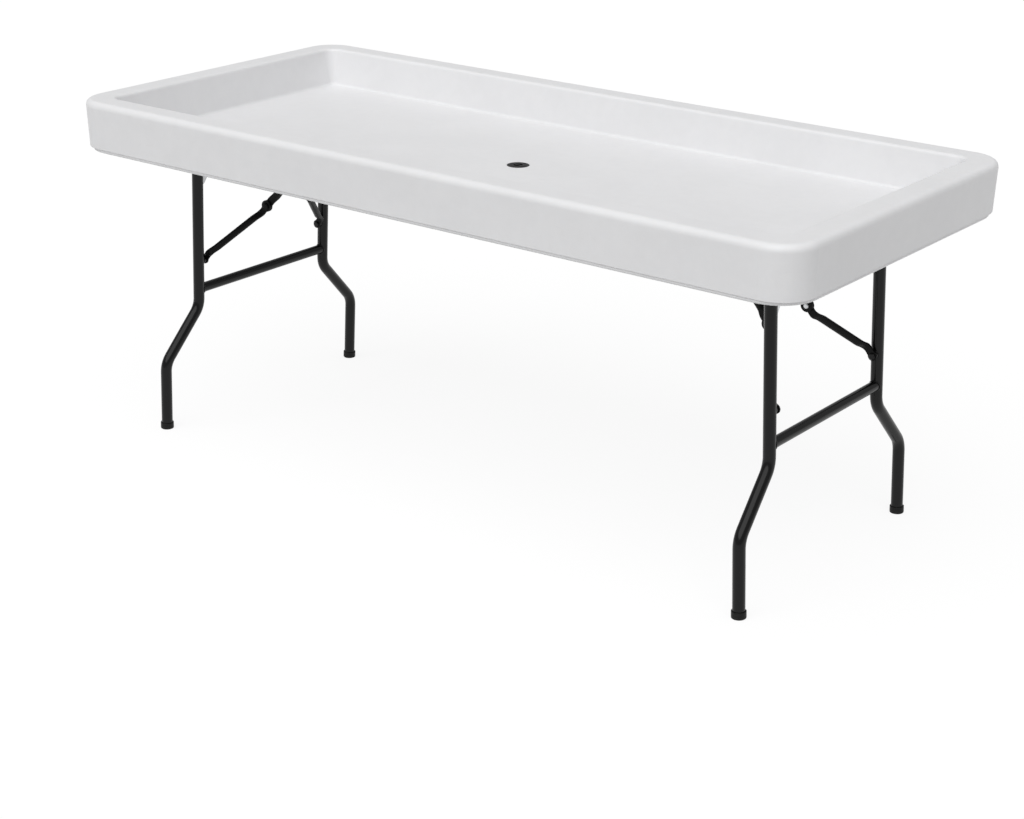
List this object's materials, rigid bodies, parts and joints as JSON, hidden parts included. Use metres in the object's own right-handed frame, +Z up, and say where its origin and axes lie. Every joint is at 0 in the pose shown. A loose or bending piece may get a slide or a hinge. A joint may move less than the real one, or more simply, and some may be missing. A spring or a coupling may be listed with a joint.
{
  "type": "cooler table",
  "caption": "Folding ice-bin table: shallow white double-wall tray with a drain, on black tubular legs that fold flat, held by toggle braces.",
  "frame": {"origin": "on the ground, under the middle of the tray", "axes": "+X along the tray, +Y across it to the back, +Z up; the front long side faces -Y"},
  "size_m": [1.836, 0.838, 0.776],
  "materials": {
    "tray_plastic": "moulded white polyethylene, fine texture, soft sheen",
    "drain_plastic": "black moulded plastic",
    "seal_rubber": "black rubber seal",
    "black_paint": "black powder coat, satin",
    "zinc_steel": "zinc-plated steel, dull bright",
    "foot_rubber": "black soft foot cap"
  },
  "bodies": {
    "root": {"tray": "tray_plastic", "drain_body": "drain_plastic", "drain_nut": "drain_plastic", "drain_seal": "seal_rubber", "saddle_front_left": "zinc_steel", "saddle_back_left": "zinc_steel", "saddle_front_right": "zinc_steel", "saddle_back_right": "zinc_steel", "saddle_screws": "zinc_steel", "anchor_left": "zinc_steel", "anchor_right": "zinc_steel", "anchor_rivets": "zinc_steel", "anchor_screws": "zinc_steel"},
    "drain_plug": {"drain_plug": "drain_plastic"},
    "leg_frame_left": {"leg_front_left": "black_paint", "leg_back_left": "black_paint", "crossbar_left": "black_paint", "hinge_tube_left": "black_paint", "gusset_front_left": "zinc_steel", "gusset_back_left": "zinc_steel", "brace_lug_front_left": "black_paint", "brace_lug_back_left": "black_paint", "lug_rivets_left": "black_paint", "foot_cap_front_left": "foot_rubber", "foot_cap_back_left": "foot_rubber"},
    "brace_lower_front_left": {"lower_link_front_left": "black_paint", "knee_collar_front_left": "black_paint"},
    "brace_upper_front_left": {"upper_link_front_left": "black_paint", "knee_rivet_front_left": "zinc_steel"},
    "brace_lower_back_left": {"lower_link_back_left": "black_paint", "knee_collar_back_left": "black_paint"},
    "brace_upper_back_left": {"upper_link_back_left": "black_paint", "knee_rivet_back_left": "zinc_steel"},
    "leg_frame_right": {"leg_front_right": "black_paint", "leg_back_right": "black_paint", "crossbar_right": "black_paint", "hinge_tube_right": "black_paint", "gusset_front_right": "zinc_steel", "gusset_back_right": "zinc_steel", "brace_lug_front_right": "black_paint", "brace_lug_back_right": "black_paint", "lug_rivets_right": "black_paint", "foot_cap_front_right": "foot_rubber", "foot_cap_back_right": "foot_rubber"},
    "brace_lower_front_right": {"lower_link_front_right": "black_paint", "knee_collar_front_right": "black_paint"},
    "brace_upper_front_right": {"upper_link_front_right": "black_paint", "knee_rivet_front_right": "zinc_steel"},
    "brace_lower_back_right": {"lower_link_back_right": "black_paint", "knee_collar_back_right": "black_paint"},
    "brace_upper_back_right": {"upper_link_back_right": "black_paint", "knee_rivet_back_right": "zinc_steel"}
  },
  "joints": [
    {"name": "leg_fold_left", "type": "hinge", "parent": "root", "child": "leg_frame_left", "pos_m": [-0.749, 0, 0.6384], "axis": [0, -1, 0], "range_deg": [0, 87]},
    {"name": "lower_link_turn_front_left", "type": "hinge", "parent": "leg_frame_left", "child": "brace_lower_front_left", "pos_m": [-0.76173, 0, 0.38272], "axis": [0, -1, 0], "range_deg": [-126.14, 0]},
    {"name": "upper_link_turn_front_left", "type": "hinge", "parent": "root", "child": "brace_upper_front_left", "pos_m": [-0.5429, 0, 0.649], "axis": [0, -1, 0], "range_deg": [0, 129.71]},
    {"name": "lower_link_turn_back_left", "type": "hinge", "parent": "leg_frame_left", "child": "brace_lower_back_left", "pos_m": [-0.76173, 0, 0.38272], "axis": [0, -1, 0], "range_deg": [-126.14, 0]},
    {"name": "upper_link_turn_back_left", "type": "hinge", "parent": "root", "child": "brace_upper_back_left", "pos_m": [-0.5429, 0, 0.649], "axis": [0, -1, 0], "range_deg": [0, 129.71]},
    {"name": "leg_fold_right", "type": "hinge", "parent": "root", "child": "leg_frame_right", "pos_m": [0.749, 0, 0.6384], "axis": [0, 1, 0], "range_deg": [0, 87]},
    {"name": "lower_link_turn_front_right", "type": "hinge", "parent": "leg_frame_right", "child": "brace_lower_front_right", "pos_m": [0.76173, 0, 0.38272], "axis": [0, 1, 0], "range_deg": [-126.14, 0]},
    {"name": "upper_link_turn_front_right", "type": "hinge", "parent": "root", "child": "brace_upper_front_right", "pos_m": [0.5429, 0, 0.649], "axis": [0, 1, 0], "range_deg": [0, 129.71]},
    {"name": "lower_link_turn_back_right", "type": "hinge", "parent": "leg_frame_right", "child": "brace_lower_back_right", "pos_m": [0.76173, 0, 0.38272], "axis": [0, 1, 0], "range_deg": [-126.14, 0]},
    {"name": "upper_link_turn_back_right", "type": "hinge", "parent": "root", "child": "brace_upper_back_right", "pos_m": [0.5429, 0, 0.649], "axis": [0, 1, 0], "range_deg": [0, 129.71]},
    {"name": "drain_plug_lift", "type": "slide", "parent": "root", "child": "drain_plug", "axis": [0, 0, 1], "range_m": [0, 0.04]}
  ],
  "couplings": [
    {"joint": "lower_link_turn_front_left", "follows": "leg_fold_left", "ratio": -1.4498},
    {"joint": "upper_link_turn_front_left", "follows": "leg_fold_left", "ratio": 1.4909},
    {"joint": "lower_link_turn_back_left", "follows": "leg_fold_left", "ratio": -1.4498},
    {"joint": "upper_link_turn_back_left", "follows": "leg_fold_left", "ratio": 1.4909},
    {"joint": "lower_link_turn_front_right", "follows": "leg_fold_right", "ratio": -1.4498},
    {"joint": "upper_link_turn_front_right", "follows": "leg_fold_right", "ratio": 1.4909},
    {"joint": "lower_link_turn_back_right", "follows": "leg_fold_right", "ratio": -1.4498},
    {"joint": "upper_link_turn_back_right", "follows": "leg_fold_right", "ratio": 1.4909}
  ]
}
